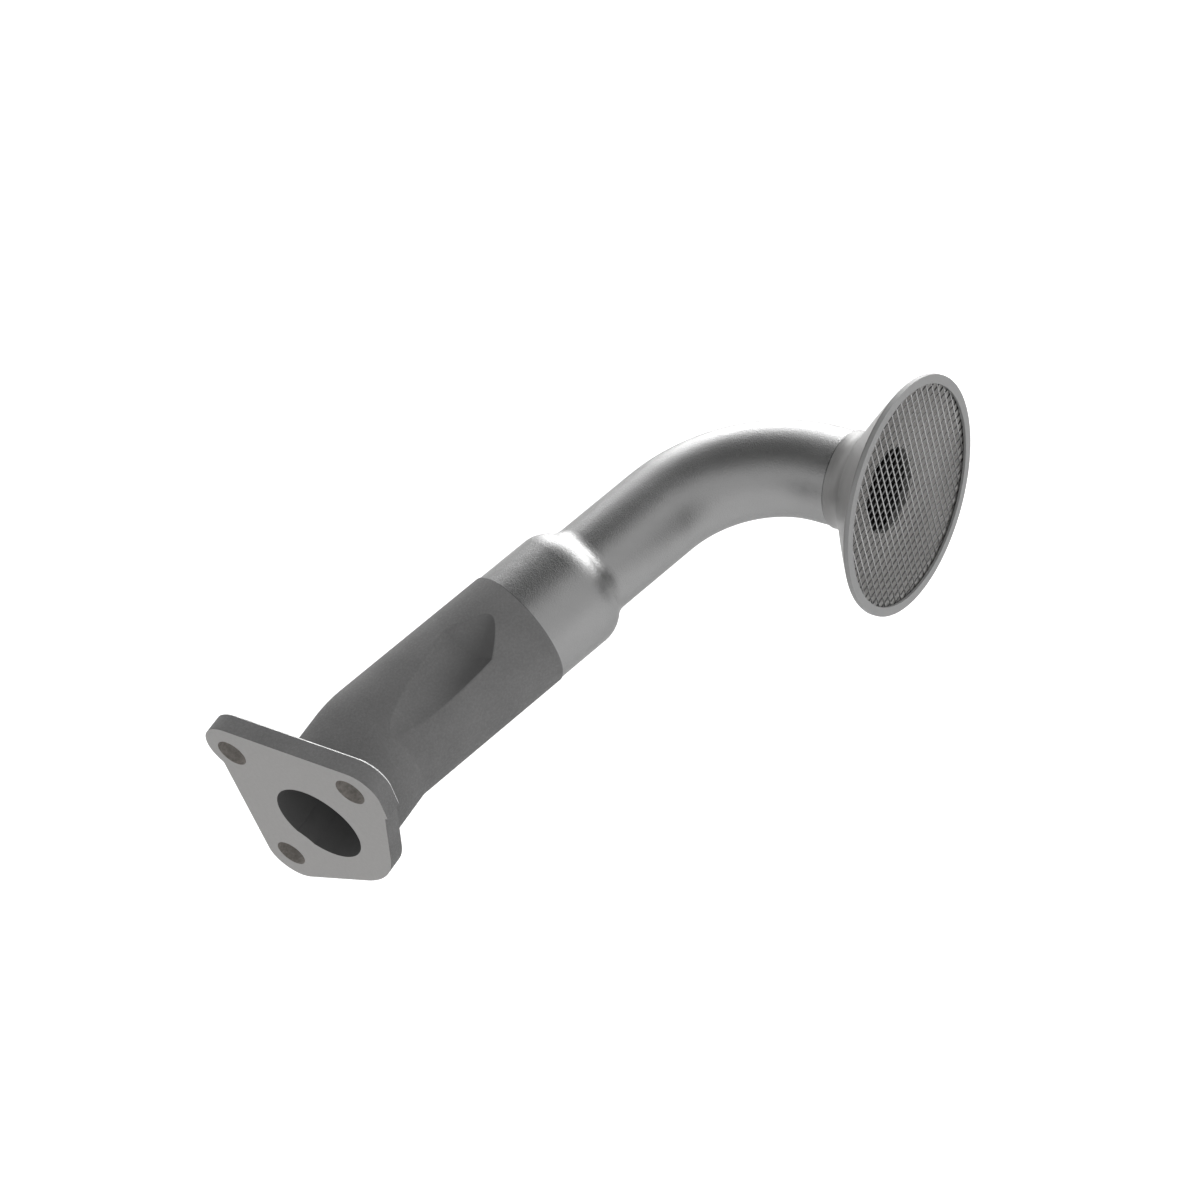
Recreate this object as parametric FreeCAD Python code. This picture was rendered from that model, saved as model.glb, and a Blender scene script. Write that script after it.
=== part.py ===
import FreeCAD, Part
import math
import os

# Oil pickup tube. Millimetres and degrees.
# Origin: centre of the port on the flange's mating face. +X runs into the pipe, the strainer's
# mouth faces -Y, and +Z is square to the plane in which the pipe bends.

# Mounting flange, with places on its face given as (Y, Z)
flange_thickness = 6.0
flange_back_bevel = 0.6
bolt_hole_radius = 4.5
left_bolt = (21.9, 20.4)
right_bolt = (-18.55, 22.0)
lower_bolt = (17.8, -21.75)
flange_top = 30.2                    # height of the straight top edge above the port's centre
flange_left = 26.85                  # distance of the left edge from the port's centre
left_edge_lean = 1.5                 # how far that edge leans out toward the top
boss_land = 2.8                      # flat back left round the pipe's sloping foot
right_edge_lean = 14.3               # how far the right edge leans out toward the top
bottom_edge_slope = 22.7             # fall of the bottom edge toward the lower bolt
left_lobe_y = 20.9
left_lobe_radius = 9.2
lobe_neck_round = 1.2                # hollow corner between the left lobe and the left edge
right_corner_y = -20.15
right_corner_radius = 8.3
right_step_foot = 14.6               # height at which the right edge steps out to its corner
right_step_top = 15.2
lower_corner_radius = 8.6

# Cast lower pipe
cast_radius = 18.15
cast_wall = 4.75
root_bevel = 2.0                     # sloping foot where the pipe leaves the flange
entry_run = 24.6                     # straight stretch from the mating face to the first bend
first_bend_angle = 16.75
first_bend_inside = 1.85             # radius of the bend's inner side
cast_run = 50.0                      # straight stretch of the casting past the first bend
spigot_length = 12.0
spigot_lead = 0.8                    # bevel on the spigot's end

# Clearance for a socket spanner at the bolts: a round cutter with a pointed end
scoop_radius = 10.6
scoop_reach = 58.4                   # where the cutter's full radius ends, from the mating face
scoop_point_angle = 30.0             # half angle of the cutter's point
scoop_edge_round = 0.6               # also the round on the bump that follows inside the passage

# Steel upper tube
tube_wall = 1.4
sleeve_radius = 17.85
neck_radius = 13.8
sleeve_run = 17.5                    # from the casting's shoulder to the start of the swage
swage_shoulder_round = 10.0
swage_neck_round = 6.0
middle_run = 104.8                   # straight stretch between the two bends
second_bend_radius = 40.3
mouth_angle = 90.0                   # turn of the whole pipe from the port to the mouth
mouth_run = 26.9                     # from the second bend to the face of the retaining ring

# Strainer bell, with depths measured back from the face of the retaining ring
collar_radius = 14.3
collar_depth = 20.0
flare_depth = 19.3                   # where the collar starts to open
flare_round = 7.0
flare_angle = 49.5                   # slope at the end of that round
rim_edge_depth = 1.6                 # back of the rim's straight outer edge
dish_rim_depth = 1.4                 # the ledge under the screen, where the dish starts
dish_throat_depth = 6.9
tube_seat_depth = 9.0                # the shoulder that the steel tube's end stands on

# Retaining ring
mouth_radius = 31.9                  # the ring's bore, and the dish's width behind it
screen_lap = 1.25                    # how far the ring covers the screen's edge
rim_land = 1.2                       # width of the bell's flat rim outside the screen
ring_overhang = 0.2                  # how far the ring stands out past the bell's rim
ring_thickness = 0.75
ring_skirt_depth = 1.1               # how far its outer skirt reaches back round the screen's edge

# Wire screen
wire_pitch = 2.575
wire_diameter = 0.48
mesh_wall = 0.3                      # plain wall that joins the wires in the middle of the mesh
gap_step = 2                         # every second opening each way is cut through
gap_margin = 0.6                     # plain wall kept between the openings and the ring's bore

overrun = 1.0                        # how far a cutter runs past what it cuts
tolerance = 1e-4                     # for finding an edge by its place

port_boss_radius = cast_radius + root_bevel + boss_land
first_bend_radius = cast_radius + first_bend_inside
port_radius = cast_radius - cast_wall
spigot_radius = sleeve_radius - tube_wall
throat_radius = neck_radius - tube_wall
screen_radius = mouth_radius + screen_lap
flare_mouth_radius = screen_radius + rim_land
ring_radius = flare_mouth_radius + ring_overhang

Vector = FreeCAD.Vector
down = Vector(0, 0, -1)


def heading(angle):
    """Direction in the bend plane, turned from +X toward -Y."""
    a = math.radians(angle)
    return Vector(math.cos(a), -math.sin(a), 0)


def bend_centre(point, angle, radius):
    """Centre of a bend toward -Y that starts at a point on a heading."""
    return point + heading(angle + 90) * radius


def bend_end(point, angle, turn, radius):
    return bend_centre(point, angle, radius) - heading(angle + turn + 90) * radius


# Centre line
port_centre = Vector(0, 0, 0)
inward = heading(0)
first_bend_start = port_centre + inward * entry_run
first_bend_end = bend_end(first_bend_start, 0, first_bend_angle, first_bend_radius)
along = heading(first_bend_angle)
cast_shoulder = first_bend_end + along * cast_run
spigot_end = cast_shoulder + along * spigot_length
second_bend_angle = mouth_angle - first_bend_angle
second_bend_start = first_bend_end + along * middle_run
second_bend_end = bend_end(
    second_bend_start, first_bend_angle, second_bend_angle, second_bend_radius)
outward = heading(mouth_angle)
mouth_centre = second_bend_end + outward * mouth_run
tube_end = mouth_centre - outward * tube_seat_depth


def rod(start, end, radius):
    """Solid round bar between two points."""
    run = end - start
    return Part.makeCylinder(radius, run.Length, start, run)


def bent_rod(start, angle, turn, bend_radius, radius):
    """Solid round bar that turns toward -Y about its bend's centre."""
    section = Part.Face(Part.Wire(Part.makeCircle(radius, start, heading(angle))))
    return section.revolve(bend_centre(start, angle, bend_radius), down, turn)


def joined(first, *others):
    return first.fuse(list(others)).removeSplitter()


def turned(profile, place, direction):
    """Solid of revolution about an axis from a place along a direction.

    A profile item is (distance, radius) for a straight line to that point, or
    (middle distance, middle radius, distance, radius) for an arc to it.
    """
    start = Vector(profile[0][0], profile[0][1], 0)
    here = start
    edges = []
    for item in profile[1:]:
        there = Vector(item[-2], item[-1], 0)
        if len(item) == 4:
            middle = Vector(item[0], item[1], 0)
            edges.append(Part.Arc(here, middle, there).toShape())
        else:
            edges.append(Part.LineSegment(here, there).toShape())
        here = there
    if here.distanceToPoint(start) > tolerance:
        edges.append(Part.LineSegment(here, start).toShape())
    face = Part.Face(Part.Wire(edges))
    solid = face.revolve(Vector(0, 0, 0), Vector(1, 0, 0), 360)
    solid.Placement = FreeCAD.Placement(place, FreeCAD.Rotation(Vector(1, 0, 0), direction))
    return solid


def on_circle(centre, radius, angle):
    """Point (Y, Z) at an angle from +Y toward +Z."""
    a = math.radians(angle)
    return centre[0] + radius * math.cos(a), centre[1] + radius * math.sin(a)


# The flange's straight left and bottom edges, each by its outward direction and distance
left_normal = -left_edge_lean
bottom_normal = -90 - bottom_edge_slope
right_normal = -180 + right_edge_lean


def edge_meeting(angle_a, distance_a, angle_b, distance_b):
    """Point (Y, Z) at the given distances along two outward directions."""
    a = math.radians(angle_a)
    b = math.radians(angle_b)
    cross = math.sin(b - a)
    y = (distance_a * math.sin(b) - distance_b * math.sin(a)) / cross
    z = (distance_b * math.cos(a) - distance_a * math.cos(b)) / cross
    return y, z


def lobe_foot(centre, radius):
    """Point (Y, Z) where the left lobe's round runs into the left edge."""
    along_normal = centre[0] * math.cos(math.radians(left_normal))
    along_normal += centre[1] * math.sin(math.radians(left_normal))
    reach = math.degrees(math.acos((flange_left - along_normal) / radius))
    return on_circle(centre, radius, left_normal - reach)


def flange_outline():
    """Edges of the mating face's outline, clockwise from the left end of the top edge."""
    lobe = (left_lobe_y, flange_top - left_lobe_radius)
    corner = (right_corner_y, flange_top - right_corner_radius)
    lower = edge_meeting(left_normal, flange_left - lower_corner_radius,
                         bottom_normal, port_boss_radius - lower_corner_radius)
    port = (0, 0)
    corner_side = on_circle(corner, right_corner_radius, 180)
    slant = math.radians(right_edge_lean)
    step_out = (port_boss_radius + right_step_foot * math.sin(slant)) / math.cos(slant)
    outline = [
        ("line", on_circle(lobe, left_lobe_radius, 90), on_circle(corner, right_corner_radius, 90)),
        ("arc", corner, right_corner_radius, 90, 180),
        ("line", corner_side, (corner_side[0], right_step_top)),
        ("line", (corner_side[0], right_step_top), (-step_out, right_step_foot)),
        ("line", (-step_out, right_step_foot), on_circle(port, port_boss_radius, right_normal)),
        ("arc", port, port_boss_radius, right_normal, bottom_normal),
        ("line", on_circle(port, port_boss_radius, bottom_normal),
         on_circle(lower, lower_corner_radius, bottom_normal)),
        ("arc", lower, lower_corner_radius, bottom_normal, left_normal),
        ("line", on_circle(lower, lower_corner_radius, left_normal),
         lobe_foot(lobe, left_lobe_radius)),
    ]
    edges = []
    for kind, *item in outline:
        if kind == "line":
            ends = [Vector(0, y, z) for y, z in item]
            edges.append(Part.LineSegment(*ends).toShape())
        else:
            centre, radius, first, last = item
            places = [on_circle(centre, radius, a) for a in (first, (first + last) / 2, last)]
            edges.append(Part.Arc(*[Vector(0, y, z) for y, z in places]).toShape())
    foot = Vector(0, *lobe_foot(lobe, left_lobe_radius))
    side = Vector(0, *on_circle(lobe, left_lobe_radius, 0))
    top = Vector(0, *on_circle(lobe, left_lobe_radius, 90))
    edges.append(Part.Arc(foot, side, top).toShape())
    return edges


def flange_plate():
    plate = Part.Face(Part.Wire(flange_outline())).extrude(inward * flange_thickness)
    neck = Vector(0, *lobe_foot((left_lobe_y, flange_top - left_lobe_radius), left_lobe_radius))
    corner = [e for e in plate.Edges
              if all(math.hypot(v.Y - neck.y, v.Z - neck.z) < tolerance for v in e.Vertexes)]
    plate = plate.makeFillet(lobe_neck_round, corner)
    back = [e for e in plate.Edges
            if all(abs(v.X - flange_thickness) < tolerance for v in e.Vertexes)]
    return plate.makeChamfer(flange_back_bevel, back)


def scoop(bolt, start, extra):
    """Cutter about a bolt's axis, made larger all round by an extra thickness.

    It starts at a distance from the mating face.
    """
    point = math.radians(scoop_point_angle)
    radius = scoop_radius + extra
    full_end = scoop_reach + extra * math.tan(point / 2)
    tip = scoop_reach + scoop_radius / math.tan(point) + extra / math.sin(point)
    profile = [(start, 0), (start, radius), (full_end, radius), (tip, 0)]
    return turned(profile, Vector(0, bolt[0], bolt[1]), inward)


def scooped(solid, bolt, start, extra):
    """The solid less a scoop, with the scoop's rim rounded."""
    cutter = scoop(bolt, start, extra)
    cut = solid.cut(cutter)
    rim = []
    for edge in cut.Edges:
        places = [edge.valueAt(edge.FirstParameter + part * (edge.LastParameter - edge.FirstParameter))
                  for part in (0.2, 0.5, 0.8)]
        on_cutter = all(cutter.distToShape(Part.Vertex(p))[0] < tolerance for p in places)
        square_to_bolt = max(p.x for p in places) - min(p.x for p in places) < tolerance
        beyond_root = edge.BoundBox.XMin > flange_thickness + root_bevel + scoop_edge_round
        if on_cutter and beyond_root and not square_to_bolt:
            rim.append(edge)
    return cut.makeFillet(scoop_edge_round, rim)


def lower_pipe(radius):
    """Solid along the casting's centre line, from the mating face to its shoulder."""
    return joined(
        rod(port_centre, first_bend_start, radius),
        bent_rod(first_bend_start, 0, first_bend_angle, first_bend_radius, radius),
        rod(first_bend_end, cast_shoulder, radius))


def flange_casting():
    """Flange, elbow and spigot. The wall keeps its thickness where the scoops press it in.

    Outside they start at the flange's back. Inside they run on through the port to its edge.
    """
    body = joined(flange_plate(), lower_pipe(cast_radius))
    root = [e for e in body.Edges if abs(e.Length - 2 * math.pi * cast_radius) < tolerance
            and abs(e.CenterOfMass.x - flange_thickness) < tolerance]
    body = body.makeChamfer(root_bevel, root)
    passage = lower_pipe(port_radius)
    body = scooped(body, right_bolt, flange_thickness, 0)
    body = body.cut(scoop(lower_bolt, flange_thickness, 0))
    passage = scooped(passage, right_bolt, -overrun, cast_wall)
    passage = passage.cut(scoop(lower_bolt, -overrun, cast_wall))
    spigot = turned([(0, port_radius), (0, spigot_radius),
                     (spigot_length - spigot_lead, spigot_radius),
                     (spigot_length, spigot_radius - spigot_lead),
                     (spigot_length, port_radius)], cast_shoulder, along)
    holes = [rod(Vector(-overrun, *bolt), Vector(flange_thickness + overrun, *bolt),
                 bolt_hole_radius)
             for bolt in (left_bolt, right_bolt, lower_bolt)]
    return body.cut([passage] + holes).fuse(spigot).removeSplitter()


def swaged_bar(inset):
    """Solid of the sleeve, its swage and the neck up to the second bend, thinner by an inset."""
    drop = sleeve_radius - neck_radius
    slope = math.acos(1 - drop / (swage_shoulder_round + swage_neck_round))
    swage_end = sleeve_run + (swage_shoulder_round + swage_neck_round) * math.sin(slope)

    def shoulder(angle):
        radius = swage_shoulder_round - inset
        return (sleeve_run + radius * math.sin(angle),
                sleeve_radius - swage_shoulder_round + radius * math.cos(angle))

    def neck(angle):
        radius = swage_neck_round + inset
        return (swage_end - radius * math.sin(angle),
                neck_radius + swage_neck_round - radius * math.cos(angle))

    reach = (second_bend_start - cast_shoulder).Length
    profile = [(0, 0), (0, sleeve_radius - inset), shoulder(0),
               shoulder(slope / 2) + shoulder(slope),
               neck(slope / 2) + neck(0),
               (reach, neck_radius - inset), (reach, 0)]
    return turned(profile, cast_shoulder, along)


def upper_tube():
    """Steel tube, one wall thickness throughout."""
    def bar(inset):
        radius = neck_radius - inset
        return joined(
            swaged_bar(inset),
            bent_rod(second_bend_start, first_bend_angle, second_bend_angle,
                     second_bend_radius, radius),
            rod(second_bend_end, tube_end, radius))

    return bar(0).cut(bar(tube_wall))


def strainer_bell():
    """Turned bell with its collar on the tube, a shallow dish and a ledge for the screen."""
    slope = math.radians(flare_angle)

    def first_round(angle):
        return (flare_depth - flare_round * math.sin(angle),
                collar_radius + flare_round * (1 - math.cos(angle)))

    # The flare runs on from that round as one long arc that starts along its slope
    depth, radius = first_round(slope)
    chord = math.atan2(flare_mouth_radius - radius, depth - rim_edge_depth)
    length = math.hypot(flare_mouth_radius - radius, depth - rim_edge_depth)
    sag = length / 2 * math.tan((chord - slope) / 2)
    middle = ((depth + rim_edge_depth) / 2 + sag * math.sin(chord),
              (radius + flare_mouth_radius) / 2 + sag * -math.cos(chord))
    profile = [
        (ring_skirt_depth, screen_radius), (ring_skirt_depth, flare_mouth_radius),
        (rim_edge_depth, flare_mouth_radius),
        middle + (depth, radius), first_round(slope / 2) + (flare_depth, collar_radius),
        (collar_depth, collar_radius), (collar_depth, neck_radius),
        (tube_seat_depth, neck_radius), (tube_seat_depth, throat_radius),
        (dish_throat_depth, throat_radius), (dish_rim_depth, mouth_radius),
        (dish_rim_depth, screen_radius)]
    return turned(profile, mouth_centre, -outward)


def screen_retaining_ring():
    """Flat ring that holds the screen on its ledge, with a short skirt round the screen."""
    profile = [(0, mouth_radius), (0, ring_radius),
               (ring_skirt_depth, ring_radius), (ring_skirt_depth, screen_radius),
               (ring_thickness, screen_radius), (ring_thickness, mouth_radius)]
    return turned(profile, mouth_centre, -outward)


def strainer_screen():
    """Square mesh: one wall pierced by openings, with the wires as ridges on its two faces.

    The front wires run along Z and the back ones along X. An opening is centred on the mouth.
    """
    middle = (ring_thickness + dish_rim_depth) / 2
    front = middle - mesh_wall / 2
    back = middle + mesh_wall / 2
    place = mouth_centre - outward * front
    rows = int((screen_radius - wire_diameter / 2) / wire_pitch - 0.5)
    rim = Part.Wire(Part.makeCircle(screen_radius, place, -outward))
    opening = (wire_pitch - wire_diameter) / 2
    openings = []
    columns = range(-(rows // gap_step), rows // gap_step + 1)
    for i in columns:
        for j in columns:
            x = i * gap_step * wire_pitch
            z = j * gap_step * wire_pitch
            if math.hypot(abs(x) + opening, abs(z) + opening) < mouth_radius - gap_margin:
                corners = [place + Vector(x + a * opening, 0, z + b * opening)
                           for a, b in ((-1, -1), (1, -1), (1, 1), (-1, 1), (-1, -1))]
                openings.append(Part.makePolygon(corners))
    wall = Part.Face([rim] + openings).extrude(-outward * mesh_wall)
    wires = []
    for row in range(-rows - 1, rows + 1):
        offset = (row + 0.5) * wire_pitch
        edge = abs(offset) + wire_diameter / 2
        half = math.sqrt(screen_radius ** 2 - edge ** 2)
        wires.append(Part.makeBox(
            wire_diameter, front - ring_thickness, 2 * half,
            mouth_centre + Vector(offset - wire_diameter / 2, ring_thickness, -half)))
        wires.append(Part.makeBox(
            2 * half, dish_rim_depth - back, wire_diameter,
            mouth_centre + Vector(-half, back, offset - wire_diameter / 2)))
    return joined(wall, *wires)


os.makedirs("parts", exist_ok=True)
for node in (flange_casting, upper_tube, strainer_bell, strainer_screen, screen_retaining_ring):
    node().exportStep("parts/" + node.__name__ + ".step")
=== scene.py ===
import bpy
import math
from mathutils import Matrix, Vector


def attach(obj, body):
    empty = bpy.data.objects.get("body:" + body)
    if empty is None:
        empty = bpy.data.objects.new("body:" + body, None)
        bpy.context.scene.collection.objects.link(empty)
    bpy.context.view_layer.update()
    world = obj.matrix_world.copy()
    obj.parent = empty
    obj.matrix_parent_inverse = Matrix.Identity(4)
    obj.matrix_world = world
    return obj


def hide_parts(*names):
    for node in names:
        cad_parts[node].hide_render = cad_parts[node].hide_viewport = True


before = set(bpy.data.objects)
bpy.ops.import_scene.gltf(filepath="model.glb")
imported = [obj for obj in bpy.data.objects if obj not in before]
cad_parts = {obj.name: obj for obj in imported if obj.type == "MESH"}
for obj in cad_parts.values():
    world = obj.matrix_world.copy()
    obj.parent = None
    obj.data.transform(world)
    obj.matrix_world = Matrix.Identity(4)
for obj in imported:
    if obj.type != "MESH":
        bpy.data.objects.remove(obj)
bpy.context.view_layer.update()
scene = bpy.context.scene
scene.view_settings.view_transform = "Standard"

MM = 0.001

# Places and sizes of the solids that the finishes follow, with a bolt's place given as (Y, Z)
BOLTS = [(y * MM, z * MM) for y, z in ((21.9, 20.4), (-18.55, 22.0), (17.8, -21.75))]
BOLT_HOLE_RADIUS = 4.5 * MM
PORT_RADIUS = 13.4 * MM
FLANGE_THICKNESS = 6.0 * MM
BEND_X = 27.55 * MM                            # where the pipe's two centre lines cross
BEND_ANGLE = math.radians(16.75)
HEADING = (math.cos(BEND_ANGLE), -math.sin(BEND_ANGLE))    # (X, Y) past that bend
SCOOP_RADIUS = 10.6 * MM
SCOOP_REACH = 58.4 * MM                        # where a scoop's pointed end starts
SCOOP_POINT_SLOPE = math.tan(math.radians(30))
TUBE_EDGE = 79.32 * MM                         # the casting's shoulder, along that heading
COLLAR_EDGE = -76.54 * MM                      # where the bell's collar ends on the tube
MOUTH = Vector((159.4, -96.54, 0)) * MM        # centre of the retaining ring's face
DISH_RADIUS = 31.9 * MM

# How far past a face or a round a finish may still reach
FACE_MARGIN = 0.02 * MM
ROUND_MARGIN = 0.05 * MM
BEND_MARGIN = 0.8 * MM                         # the bend's arc cuts the corner of the centre lines

# Camera, at the photograph's place and angle
CAMERA_PLACE = Vector((-337.06, -475.29, 634.12)) * MM
CAMERA_LOOK = Vector((0.48818, 0.50017, -0.71519))
CAMERA_UP = Vector((0.70817, 0.25212, 0.65949))
CAMERA_LENS = 95.94          # in millimetres, as is the sensor's width
CAMERA_SENSOR = 36


def photo_camera():
    data = bpy.data.cameras.new("camera")
    data.lens = CAMERA_LENS
    data.sensor_width = CAMERA_SENSOR
    data.clip_start = 10 * MM
    camera = bpy.data.objects.new("camera", data)
    scene.collection.objects.link(camera)
    back = -CAMERA_LOOK.normalized()
    right = CAMERA_UP.cross(back).normalized()
    up = back.cross(right).normalized()
    turn = Matrix((right, up, back)).transposed().to_4x4()
    camera.matrix_world = Matrix.Translation(CAMERA_PLACE) @ turn
    scene.camera = camera


photo_camera()


class Nodes:
    """Short calls for building a material's or the world's node tree."""

    def __init__(self, tree):
        self.tree = tree

    def add(self, kind, **values):
        node = self.tree.nodes.new(kind)
        for name, value in values.items():
            setattr(node, name, value)
        return node

    def link(self, a, b):
        self.tree.links.new(a, b)

    def put(self, socket, value):
        if isinstance(value, bpy.types.NodeSocket):
            self.link(value, socket)
        else:
            socket.default_value = value

    def math(self, operation, a, b=0.0, c=0.0):
        node = self.add("ShaderNodeMath", operation=operation)
        for socket, value in zip(node.inputs, (a, b, c)):
            self.put(socket, value)
        return node.outputs[0]

    def split(self, vector):
        node = self.add("ShaderNodeSeparateXYZ")
        self.link(vector, node.inputs[0])
        return node.outputs

    def reach(self, a, b):
        """Length of the hypotenuse over two distances."""
        squares = self.math("ADD", self.math("MULTIPLY", a, a), self.math("MULTIPLY", b, b))
        return self.math("SQRT", squares)

    def noise(self, where, scale, detail=3.0, roughness=0.5):
        node = self.add("ShaderNodeTexNoise")
        self.link(where, node.inputs["Vector"])
        node.inputs["Scale"].default_value = scale
        node.inputs["Detail"].default_value = detail
        node.inputs["Roughness"].default_value = roughness
        return node.outputs[0]

    def remap(self, value, low, high, to_low, to_high):
        node = self.add("ShaderNodeMapRange")
        for name, number in (("From Min", low), ("From Max", high),
                             ("To Min", to_low), ("To Max", to_high)):
            node.inputs[name].default_value = number
        self.link(value, node.inputs["Value"])
        return node.outputs[0]

    def ramp(self, value, *stops):
        node = self.add("ShaderNodeValToRGB")
        for element, (place, colour) in zip(node.color_ramp.elements, stops):
            element.position = place
            element.color = (*colour, 1)
        self.link(value, node.inputs[0])
        return node.outputs[0]

    def mix(self, factor, a, b):
        node = self.add("ShaderNodeMix", data_type="RGBA")
        self.put(node.inputs[0], factor)
        for socket, value in ((node.inputs[6], a), (node.inputs[7], b)):
            self.put(socket, (*value, 1) if isinstance(value, tuple) else value)
        return node.outputs[2]

    def blend(self, share, a, b):
        """Weighted sum of two values."""
        return self.math("ADD", self.math("MULTIPLY", a, share),
                         self.math("MULTIPLY", b, 1 - share))

    def bump(self, height, strength, distance):
        node = self.add("ShaderNodeBump")
        node.inputs["Strength"].default_value = strength
        node.inputs["Distance"].default_value = distance
        self.link(height, node.inputs["Height"])
        return node.outputs[0]


def material(name, metallic=0.0):
    """A new material, the calls for its tree, and its shader."""
    made = bpy.data.materials.new(name)
    made.use_nodes = True
    shader = made.node_tree.nodes["Principled BSDF"]
    shader.inputs["Metallic"].default_value = metallic
    return made, Nodes(made.node_tree), shader


def grey(level):
    return (level, level, level)


def shades(level, spread, warmth=0.0):
    """A darker and a lighter tone of one grey, a little warmer where asked."""
    tint = (1, 1 - warmth / 2, 1 - warmth)
    return [tuple(level * (1 + side * spread) * part for part in tint) for side in (-1, 1)]


# Cast iron
SCOOP_SHADE_START = 38 * MM         # along X, where the painted shade on a scoop's floor starts
SCOOP_SHADE_FULL = 50 * MM


def near_bolt(nodes, y, z, radius, added=0.0):
    """1 where the distance from a bolt's axis, with an addition, is less than a radius."""
    near = 0.0
    for bolt_y, bolt_z in BOLTS:
        from_axis = nodes.reach(nodes.math("SUBTRACT", y, bolt_y), nodes.math("SUBTRACT", z, bolt_z))
        close = nodes.math("LESS_THAN", nodes.math("ADD", from_axis, added), radius)
        near = nodes.math("MAXIMUM", near, close)
    return near


def bore_wall_for_painted_shade(nodes, x, y, z, normal):
    """1 on the wall of the passage, which is near the pipe's centre line and faces it: where the
    bore's shade is painted.
    """
    centre_y = nodes.math("MULTIPLY", nodes.math("SUBTRACT", BEND_X, x), math.tan(BEND_ANGLE))
    from_centre = nodes.math("SUBTRACT", y, nodes.math("MINIMUM", centre_y, 0.0))
    outward = nodes.math("ADD", nodes.math("MULTIPLY", normal[1], from_centre),
                         nodes.math("MULTIPLY", normal[2], z))
    return nodes.math("MULTIPLY", nodes.math("LESS_THAN", outward, 0.0),
                      nodes.math("LESS_THAN", nodes.reach(from_centre, z),
                                 PORT_RADIUS + BEND_MARGIN))


def scoop_painted_shade(nodes, x, y, z, smooth_y):
    """Painted shade: rises to 1 toward a scoop's end, and fades out on the wall that faces -Y."""
    point = nodes.math("MULTIPLY",
                       nodes.math("MAXIMUM", nodes.math("SUBTRACT", x, SCOOP_REACH), 0.0),
                       SCOOP_POINT_SLOPE)
    deep = nodes.math("MULTIPLY", nodes.remap(x, SCOOP_SHADE_START, SCOOP_SHADE_FULL, 0, 1),
                      nodes.remap(smooth_y, -0.75, 0.0, 0, 1))
    return nodes.math("MULTIPLY", deep, near_bolt(nodes, y, z, SCOOP_RADIUS + ROUND_MARGIN, point))


def cast_iron():
    """Dark sand-cast skin, with the mating face and the bolt holes cut to brighter metal."""
    made, nodes, shader = material("cast_iron")
    geometry = nodes.add("ShaderNodeNewGeometry")
    place = geometry.outputs["Position"]
    x, y, z = nodes.split(place)
    normal = nodes.split(geometry.outputs["True Normal"])
    smooth_y = nodes.split(geometry.outputs["Normal"])[1]
    grain = nodes.noise(place, scale=1500, detail=4.0, roughness=0.65)
    lumps = nodes.noise(place, scale=260, roughness=0.55)
    blotches = nodes.noise(place, scale=60, detail=2.0)
    dark, light = shades(0.187, spread=0.17, warmth=0.005)
    skin = nodes.ramp(nodes.blend(0.5, grain, blotches), (0.30, dark), (0.70, light))

    # Painted shade: the bore is darker, and so is the deep end of each spanner scoop
    skin = nodes.mix(bore_wall_for_painted_shade(nodes, x, y, z, normal), skin, grey(0.115))
    # This mix paints the scoops' shade in as a darker grey
    skin = nodes.mix(scoop_painted_shade(nodes, x, y, z, smooth_y), skin, grey(0.125))

    # The skin is worn to bare metal along the bevel of the flange's back edge
    sloping = nodes.math("MULTIPLY", nodes.math("GREATER_THAN", normal[0], 0.5),
                         nodes.math("LESS_THAN", normal[0], 0.9))
    on_flange = nodes.math("LESS_THAN", x, FLANGE_THICKNESS + FACE_MARGIN)
    bevel = nodes.math("MULTIPLY", on_flange, sloping)
    nodes.link(bevel, shader.inputs["Metallic"])
    skin = nodes.mix(bevel, skin, grey(0.5))

    drilled = nodes.math("MULTIPLY", on_flange,
                         near_bolt(nodes, y, z, BOLT_HOLE_RADIUS + ROUND_MARGIN))
    dark, light = shades(0.235, spread=0.2, warmth=0.13)
    tone = nodes.ramp(nodes.noise(place, scale=700, roughness=0.6), (0.35, dark), (0.65, light))
    skin = nodes.mix(drilled, skin, tone)

    milled = nodes.math("MULTIPLY", nodes.math("LESS_THAN", x, FACE_MARGIN),
                        nodes.math("LESS_THAN", normal[0], -0.9))
    dark, light = shades(0.36, spread=0.03, warmth=0.03)
    tone = nodes.ramp(nodes.noise(place, scale=900, detail=4.0, roughness=0.6),
                      (0.35, dark), (0.65, light))
    nodes.link(nodes.mix(milled, skin, tone), shader.inputs["Base Color"])

    # What is cut is smoother than the skin
    cut = nodes.math("MAXIMUM", milled, drilled)
    rough_skin = nodes.remap(grain, 0.52, 0.62, 0.85, 0.6)
    nodes.link(nodes.math("MINIMUM", nodes.remap(cut, 0, 1, 1.0, 0.5), rough_skin),
               shader.inputs["Roughness"])
    shader.inputs["Specular IOR Level"].default_value = 0.14
    height = nodes.math("MULTIPLY", nodes.math("ADD", nodes.math("MULTIPLY", grain, 0.6), lumps),
                        nodes.remap(cut, 0, 1, 1.0, 0.04))
    nodes.link(nodes.bump(height, strength=0.5, distance=0.12 * MM), shader.inputs["Normal"])
    return made


# Steel
STEEL_EDGE_TINT = (*grey(0.62), 1)
TUBE_JOINT_SHADE = 0.3 * MM        # half widths of the painted shade lines at the tube's two joints
COLLAR_JOINT_SHADE = 0.62 * MM
DISH_EDGE_LIGHT_START = DISH_RADIUS - 2.2 * MM      # painted light: the dish brightens from here to its edge
DISH_EDGE_LIGHT_FULL = DISH_RADIUS - 0.3 * MM


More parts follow.
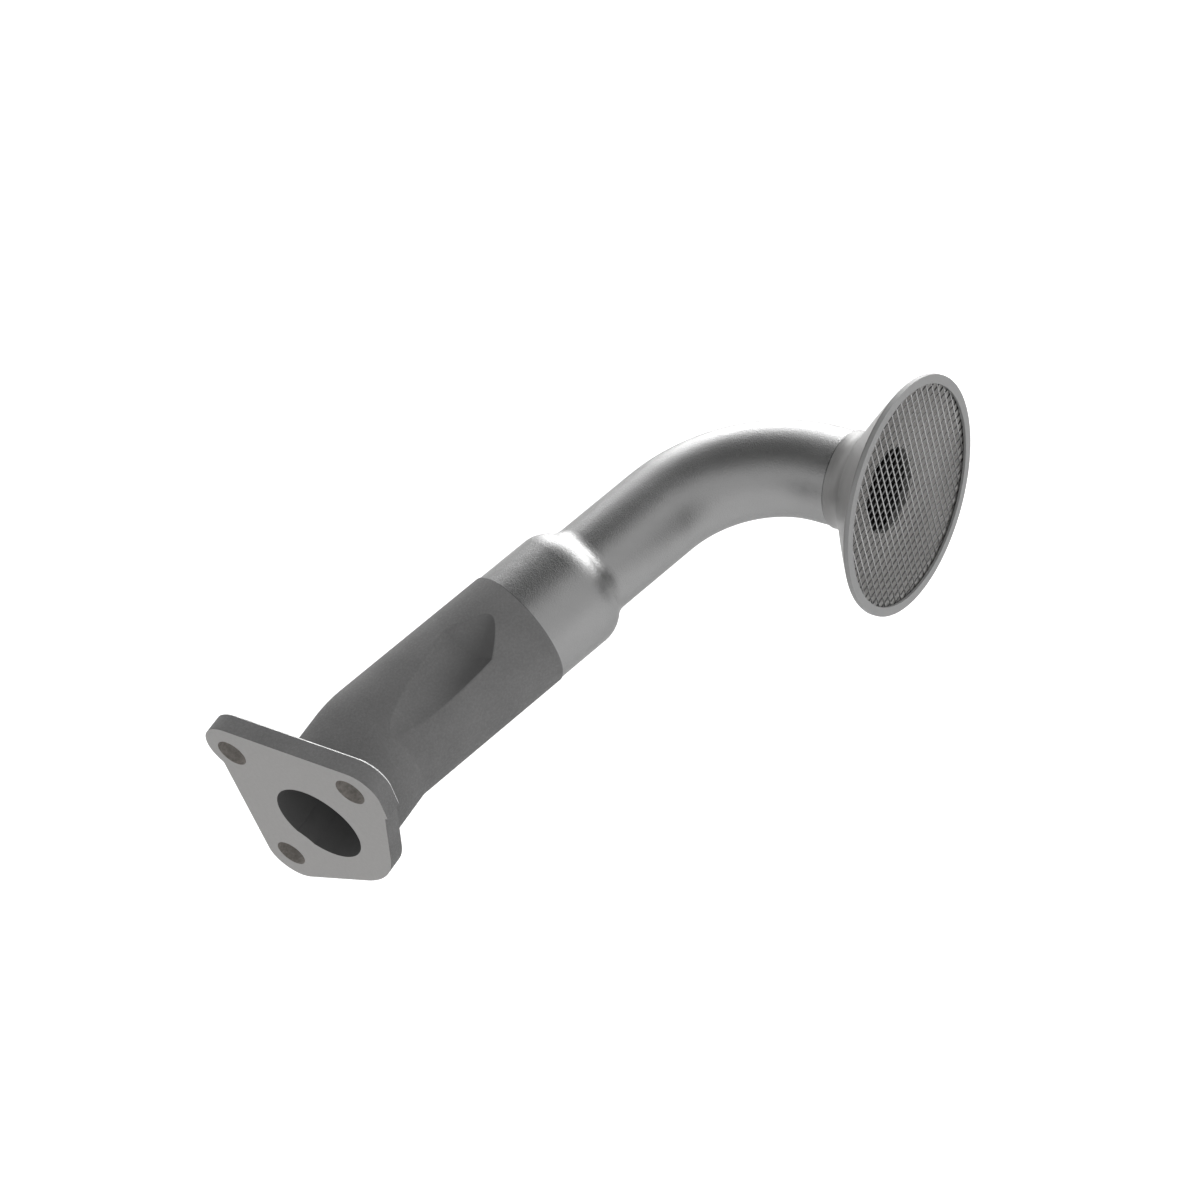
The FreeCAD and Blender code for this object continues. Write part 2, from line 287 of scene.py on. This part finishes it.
def drawn_steel(name, level, roughness, grain_height, metallic):
    """Drawn or pressed steel with a fine blasted grain that breaks up its highlights."""
    made, nodes, shader = material(name, metallic)
    place = nodes.add("ShaderNodeNewGeometry").outputs["Position"]
    grain = nodes.noise(place, scale=2100, roughness=0.7)
    cloud = nodes.noise(place, scale=90)
    dark, light = shades(level, spread=0.05)
    tone = nodes.ramp(nodes.blend(0.4, grain, cloud), (0.3, dark), (0.7, light))
    x, y = nodes.split(place)[:2]
    along = nodes.math("ADD", nodes.math("MULTIPLY", x, HEADING[0]),
                       nodes.math("MULTIPLY", y, HEADING[1]))
    # Painted shade: a dark line where the tube meets the casting's shoulder and the bell's collar
    joint_shade_painted = nodes.math("MAXIMUM", nodes.math("COMPARE", along, TUBE_EDGE, TUBE_JOINT_SHADE),
                       nodes.math("COMPARE", y, COLLAR_EDGE, COLLAR_JOINT_SHADE))
    nodes.link(nodes.mix(joint_shade_painted, tone, grey(0.145)), shader.inputs["Base Color"])
    nodes.link(nodes.remap(grain, 0.4, 0.6, roughness - 0.05, roughness + 0.05),
               shader.inputs["Roughness"])
    nodes.link(nodes.bump(grain, strength=grain_height, distance=0.11 * MM), shader.inputs["Normal"])
    shader.inputs["Specular Tint"].default_value = STEEL_EDGE_TINT
    return made


def turned_steel(name, level, painted_dish_level, roughness, metallic):
    """Steel with the fine rings that a lathe tool leaves about the mouth's axis."""
    made, nodes, shader = material(name, metallic)
    geometry = nodes.add("ShaderNodeNewGeometry")
    place = geometry.outputs["Position"]
    x, y, z = nodes.split(place)
    from_axis = nodes.reach(nodes.math("SUBTRACT", x, MOUTH.x), z)

    # The rings follow the depth too, so that sides carry them as faces do
    wave = nodes.add("ShaderNodeTexNoise", noise_dimensions="1D")
    wave.inputs["Scale"].default_value = 3600
    wave.inputs["Detail"].default_value = 2
    nodes.link(nodes.math("ADD", from_axis, nodes.math("MULTIPLY", y, 0.9)), wave.inputs["W"])
    rings = wave.outputs[0]

    tone = nodes.blend(0.5, rings, nodes.noise(place, scale=120))
    dark, light = shades(level, spread=0.07, warmth=0.02)
    outside = nodes.ramp(tone, (0.3, dark), (0.7, light))
    # Painted light: faces turned to -Y, the bell's dish, take a lighter copy of the tone, brighter
    # still toward the dish's edge
    dark, light = shades(painted_dish_level, spread=0.07, warmth=0.06)
    dish_painted_light = nodes.ramp(tone, (0.3, dark), (0.7, light))
    painted_edge_light = nodes.remap(from_axis, DISH_EDGE_LIGHT_START, DISH_EDGE_LIGHT_FULL, 0, 1)
    dish_painted_light = nodes.mix(painted_edge_light, dish_painted_light, (0.55, 0.545, 0.53))
    in_dish = nodes.math("LESS_THAN", nodes.split(geometry.outputs["True Normal"])[1], -0.2)
    nodes.link(nodes.mix(in_dish, outside, dish_painted_light), shader.inputs["Base Color"])
    nodes.link(nodes.remap(rings, 0.3, 0.7, roughness - 0.05, roughness + 0.05),
               shader.inputs["Roughness"])
    nodes.link(nodes.bump(rings, strength=0.25, distance=0.01 * MM), shader.inputs["Normal"])
    shader.inputs["Specular Tint"].default_value = STEEL_EDGE_TINT
    return made


def dress(node, made):
    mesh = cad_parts[node].data
    mesh.materials.clear()
    mesh.materials.append(made)


dress("flange_casting", cast_iron())
dress("upper_tube", drawn_steel("drawn_steel", level=0.27, roughness=0.33, grain_height=1.0,
                                metallic=1.0))
dress("strainer_bell", turned_steel("turned_steel", level=0.27, painted_dish_level=0.32, roughness=0.42,
                                    metallic=0.2))
dress("screen_retaining_ring", drawn_steel("ring_steel", level=0.295, roughness=0.5,
                                           grain_height=0.04, metallic=0.1))


# Wire screen
PITCH = 2.575 * MM
WIRE_RADIUS = 0.215 * MM
EDGE = 33.1 * MM             # the screen's own radius, under the ring's lip
FRONT_DEPTH = 0.97 * MM      # the wires along Z, behind the ring's face
BACK_DEPTH = 1.0 * MM        # the wires along X
SIDES = 8


def wire_screen():
    """Square mesh of straight wires, those along Z welded onto those along X."""
    points = []
    faces = []

    def wire(offset, along_z, depth):
        half = math.sqrt(EDGE ** 2 - (abs(offset) + WIRE_RADIUS) ** 2)
        first = len(points)
        for run in (-half, half):
            for k in range(SIDES):
                angle = 2 * math.pi * (k + 0.5) / SIDES
                side = WIRE_RADIUS * math.cos(angle)
                out = depth + WIRE_RADIUS * math.sin(angle)
                if along_z:
                    points.append((MOUTH.x + offset + side, MOUTH.y + out, run))
                else:
                    points.append((MOUTH.x + run, MOUTH.y + out, offset + side))
        for k in range(SIDES):
            a = first + k
            b = first + (k + 1) % SIDES
            quad = (a, b, b + SIDES, a + SIDES)
            faces.append(quad if along_z else quad[::-1])
        start = tuple(range(first, first + SIDES))
        stop = tuple(range(first + SIDES, first + 2 * SIDES))
        faces.append(start[::-1] if along_z else start)
        faces.append(stop if along_z else stop[::-1])

    rows = int((EDGE - WIRE_RADIUS) / PITCH - 0.5)
    for row in range(-rows - 1, rows + 1):
        offset = (row + 0.5) * PITCH
        wire(offset, True, FRONT_DEPTH)
        wire(offset, False, BACK_DEPTH)
    mesh = bpy.data.meshes.new("wire_screen")
    mesh.from_pydata(points, [], faces)
    faces_each = SIDES + 2
    for polygon in mesh.polygons:
        polygon.use_smooth = len(polygon.vertices) == 4
        polygon.material_index = polygon.index // faces_each % 2
    obj = bpy.data.objects.new("wire_screen", mesh)
    scene.collection.objects.link(obj)
    # Painted shade: the wires along X take a darker copy of the same steel, for the shade they lie in
    # behind the wires along Z
    for name, level, roughness in (("bright_wire", 0.4, 0.34), ("wire_painted_shade", 0.155, 0.45)):
        mesh.materials.append(drawn_steel(name, level, roughness, grain_height=0.04, metallic=1.0))
    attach(obj, "root")
    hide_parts("strainer_screen")


wire_screen()


# Floor, world and lamps, in metres
FLOOR_HEIGHT = -0.26
FLOOR_REACH = 6
FLOOR_LIGHT = 0.55           # what the floor adds of its own where it is seen directly
CARD_HEIGHT = 0.8
WORLD_LIGHT = 0.88


def sheet(name, height, low, high, made):
    """Level rectangle between two corners (X, Y)."""
    corners = [(low[0], low[1], height), (high[0], low[1], height),
               (high[0], high[1], height), (low[0], high[1], height)]
    mesh = bpy.data.meshes.new(name)
    mesh.from_pydata(corners, [], [(0, 1, 2, 3)])
    obj = bpy.data.objects.new(name, mesh)
    mesh.materials.append(made)
    scene.collection.objects.link(obj)
    return obj


def seen_directly(nodes):
    """1 for a ray from the camera, or one that metal or glass sends on."""
    path = nodes.add("ShaderNodeLightPath")
    seen = nodes.math("MAXIMUM", path.outputs["Is Camera Ray"], path.outputs["Is Glossy Ray"])
    return nodes.math("MAXIMUM", seen, path.outputs["Is Transmission Ray"])


def floor_material():
    """Pale and matt, and white where it is seen directly, with the shadow kept."""
    made = bpy.data.materials.new("floor")
    made.use_nodes = True
    nodes = Nodes(made.node_tree)
    made.node_tree.nodes.clear()
    out = nodes.add("ShaderNodeOutputMaterial")
    diffuse = nodes.add("ShaderNodeBsdfDiffuse")
    diffuse.inputs[0].default_value = (*grey(0.86), 1)
    glow = nodes.add("ShaderNodeEmission")
    nodes.link(nodes.math("MULTIPLY", seen_directly(nodes), FLOOR_LIGHT), glow.inputs["Strength"])
    both = nodes.add("ShaderNodeAddShader")
    nodes.link(diffuse.outputs[0], both.inputs[0])
    nodes.link(glow.outputs[0], both.inputs[1])
    nodes.link(both.outputs[0], out.inputs[0])
    return made


def card_material():
    made, _, shader = material("card")
    shader.inputs["Base Color"].default_value = (*grey(0.19), 1)
    shader.inputs["Roughness"].default_value = 1
    return made


def white_world():
    """White where it is seen directly, and a little less bright as a light."""
    world = bpy.data.worlds.new("world")
    world.use_nodes = True
    scene.world = world
    nodes = Nodes(world.node_tree)
    background = world.node_tree.nodes["Background"]
    background.inputs[0].default_value = (1, 1, 1, 1)
    nodes.link(nodes.remap(seen_directly(nodes), 0, 1, WORLD_LIGHT, 1.0),
               background.inputs["Strength"])


def lamp(name, place, aim, size, power):
    data = bpy.data.lights.new(name, "AREA")
    data.shape = "RECTANGLE"
    data.size, data.size_y = size
    data.energy = power
    obj = bpy.data.objects.new(name, data)
    obj.location = place
    obj.rotation_euler = (Vector(aim) - Vector(place)).to_track_quat("-Z", "Y").to_euler()
    scene.collection.objects.link(obj)
    obj.visible_camera = False
    return obj


sheet("floor", FLOOR_HEIGHT, (-FLOOR_REACH, -FLOOR_REACH), (FLOOR_REACH, FLOOR_REACH),
      floor_material())
white_world()
lamp("back_lamp", place=(1.18, 0.58, -0.03), aim=(0.12, -0.03, 0), size=(0.75, 1.1), power=17)

# This lamp shows only in reflections, as the broad highlight on the swage
glint = lamp("glint_lamp", place=(1.37, -0.18, 0.2), aim=(0.1, -0.022, 0), size=(0.8, 0.85), power=14)
glint.visible_diffuse = False

# A grey card over the work, as a studio uses to shade bright metal
flag = sheet("flag", CARD_HEIGHT, (-0.5, -0.4), (0.9, 1.1), card_material())
flag.visible_camera = False
